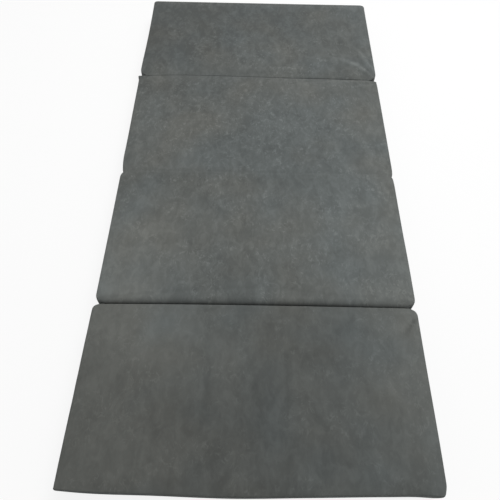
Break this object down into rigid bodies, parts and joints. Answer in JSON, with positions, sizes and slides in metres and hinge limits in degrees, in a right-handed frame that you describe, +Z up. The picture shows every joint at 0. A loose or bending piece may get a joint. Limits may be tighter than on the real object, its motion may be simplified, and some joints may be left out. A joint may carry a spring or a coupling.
{
  "type": "folding guest bed",
  "caption": "Guest bed of four foam panels in dark grey suede covers, joined by cloth folds that stack in a concertina; each cover has a zip in its right-hand wall",
  "frame": {"origin": "centre of the bounding box's bottom, on the floor below the middle fold", "axes": "X across the bed with the zips at +X, +Y along the bed to the head end, +Z up from the floor to the lying surface"},
  "size_m": [0.9041, 1.9, 0.1],
  "materials": {
    "suede": "dark grey brushed microfibre suede",
    "foam": "open-cell polyurethane foam, pale",
    "zip_tape": "woven polyester tape",
    "zip_teeth": "moulded acetal",
    "zip_metal": "dark lacquered zinc"
  },
  "bodies": {
    "head_panel": {"head_foam_core": "foam", "head_top_cloth": "suede", "head_side_band": "suede", "head_bottom_cloth": "suede", "head_zip_tapes": "zip_tape", "head_zip_teeth": "zip_teeth", "head_zip_stops": "zip_metal"},
    "head_slider": {"head_zip_slider": "zip_metal"},
    "head_puller": {"head_zip_pull": "zip_metal"},
    "shoulder_panel": {"shoulder_foam_core": "foam", "shoulder_top_cloth": "suede", "shoulder_side_band": "suede", "shoulder_bottom_cloth": "suede", "shoulder_zip_tapes": "zip_tape", "shoulder_zip_teeth": "zip_teeth", "shoulder_zip_stops": "zip_metal", "head_fold_web": "suede", "middle_fold_web": "suede"},
    "shoulder_slider": {"shoulder_zip_slider": "zip_metal"},
    "shoulder_puller": {"shoulder_zip_pull": "zip_metal"},
    "hip_panel": {"hip_foam_core": "foam", "hip_top_cloth": "suede", "hip_side_band": "suede", "hip_bottom_cloth": "suede", "hip_zip_tapes": "zip_tape", "hip_zip_teeth": "zip_teeth", "hip_zip_stops": "zip_metal", "foot_fold_web": "suede"},
    "hip_slider": {"hip_zip_slider": "zip_metal"},
    "hip_puller": {"hip_zip_pull": "zip_metal"},
    "foot_panel": {"foot_foam_core": "foam", "foot_top_cloth": "suede", "foot_side_band": "suede", "foot_bottom_cloth": "suede", "foot_zip_tapes": "zip_tape", "foot_zip_teeth": "zip_teeth", "foot_zip_stops": "zip_metal"},
    "foot_slider": {"foot_zip_slider": "zip_metal"},
    "foot_puller": {"foot_zip_pull": "zip_metal"}
  },
  "joints": [
    {"name": "middle_fold", "type": "hinge", "parent": "shoulder_panel", "child": "hip_panel", "pos_m": [0, 0, 0.10015], "axis": [-1, 0, 0], "range_deg": [0, 180], "deforming": ["middle_fold_web"]},
    {"name": "head_fold", "type": "hinge", "parent": "shoulder_panel", "child": "head_panel", "pos_m": [0, 0.475, -0.00015], "axis": [-1, 0, 0], "range_deg": [0, 180], "deforming": ["head_fold_web"]},
    {"name": "foot_fold", "type": "hinge", "parent": "hip_panel", "child": "foot_panel", "pos_m": [0, -0.475, -0.00015], "axis": [1, 0, 0], "range_deg": [0, 180], "deforming": ["foot_fold_web"]},
    {"name": "head_zip", "type": "slide", "parent": "head_panel", "child": "head_slider", "axis": [0, -1, 0], "range_m": [0, 0.3766], "deforming": ["head_zip_tapes", "head_zip_teeth"]},
    {"name": "head_pull", "type": "hinge", "parent": "head_slider", "child": "head_puller", "pos_m": [0.4528, 0.9031, 0.046], "axis": [0, 0, 1], "range_deg": [0, 180]},
    {"name": "shoulder_zip", "type": "slide", "parent": "shoulder_panel", "child": "shoulder_slider", "axis": [0, -1, 0], "range_m": [0, 0.3766], "deforming": ["shoulder_zip_tapes", "shoulder_zip_teeth"]},
    {"name": "shoulder_pull", "type": "hinge", "parent": "shoulder_slider", "child": "shoulder_puller", "pos_m": [0.4528, 0.4276, 0.046], "axis": [0, 0, 1], "range_deg": [0, 180]},
    {"name": "hip_zip", "type": "slide", "parent": "hip_panel", "child": "hip_slider", "axis": [0, -1, 0], "range_m": [0, 0.3766], "deforming": ["hip_zip_tapes", "hip_zip_teeth"]},
    {"name": "hip_pull", "type": "hinge", "parent": "hip_slider", "child": "hip_puller", "pos_m": [0.4528, -0.0474, 0.046], "axis": [0, 0, 1], "range_deg": [0, 180]},
    {"name": "foot_zip", "type": "slide", "parent": "foot_panel", "child": "foot_slider", "axis": [0, -1, 0], "range_m": [0, 0.3766], "deforming": ["foot_zip_tapes", "foot_zip_teeth"]},
    {"name": "foot_pull", "type": "hinge", "parent": "foot_slider", "child": "foot_puller", "pos_m": [0.4528, -0.5229, 0.046], "axis": [0, 0, 1], "range_deg": [0, 180]}
  ]
}
